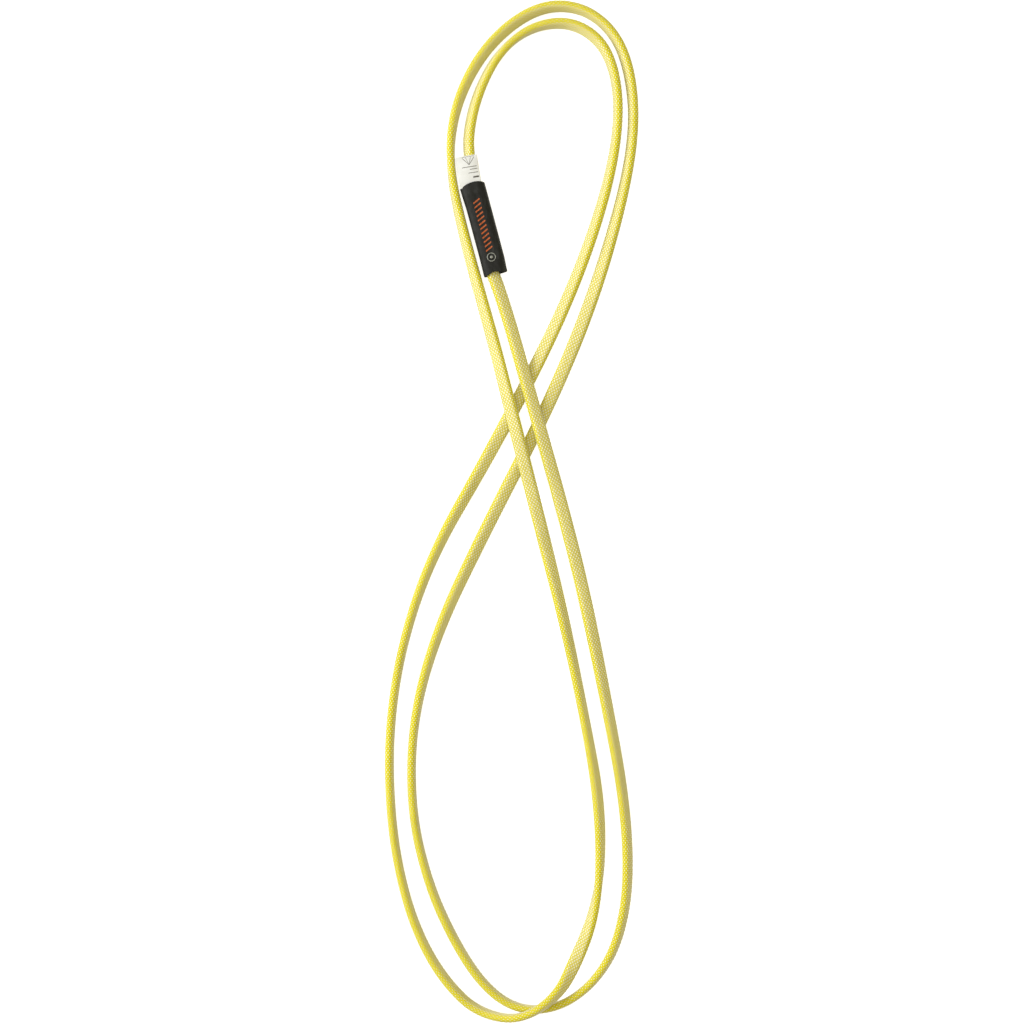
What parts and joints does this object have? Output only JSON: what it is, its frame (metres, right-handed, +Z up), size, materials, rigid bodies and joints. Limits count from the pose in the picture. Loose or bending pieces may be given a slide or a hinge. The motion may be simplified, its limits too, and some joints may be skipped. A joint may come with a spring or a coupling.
{
  "type": "sewn cord loop sling",
  "caption": "Endless loop of braided cord, lying in a twice-passed figure of eight, its sewn joint under a sliding sleeve with a folding label.",
  "frame": {"origin": "on the surface the sling lies on, under the middle of its outline", "axes": "+Z up off the surface, +Y along the sling towards the lobe that holds the sleeve, +X across it"},
  "size_m": [0.1371, 0.5487, 0.0177],
  "materials": {
    "sheath": "fine braided cover, yellow and cream yarns",
    "core": "parallel white core yarns",
    "end_seal": "melted cord end",
    "thread": "bonded sewing thread",
    "sleeve": "matt elastomer tube",
    "label": "smooth woven label tape"
  },
  "bodies": {
    "sling": {"cord_sheath": "sheath", "cord_core": "core", "lower_end_seal": "end_seal", "upper_end_seal": "end_seal", "needle_thread": "thread", "bobbin_thread": "thread", "label_tuck": "label"},
    "sleeve_body": {"sleeve": "sleeve"},
    "label_body": {"label_tab": "label"}
  },
  "joints": [
    {"name": "sleeve_slide", "type": "slide", "parent": "sling", "child": "sleeve_body", "axis": [0.2588, -0.9659, 0], "range_m": [0, 0.02]},
    {"name": "label_fold", "type": "hinge", "parent": "sling", "child": "label_body", "pos_m": [-0.0213, 0.17686, 0.00722], "axis": [0.9659, 0.2588, 0], "range_deg": [0, 110]}
  ]
}
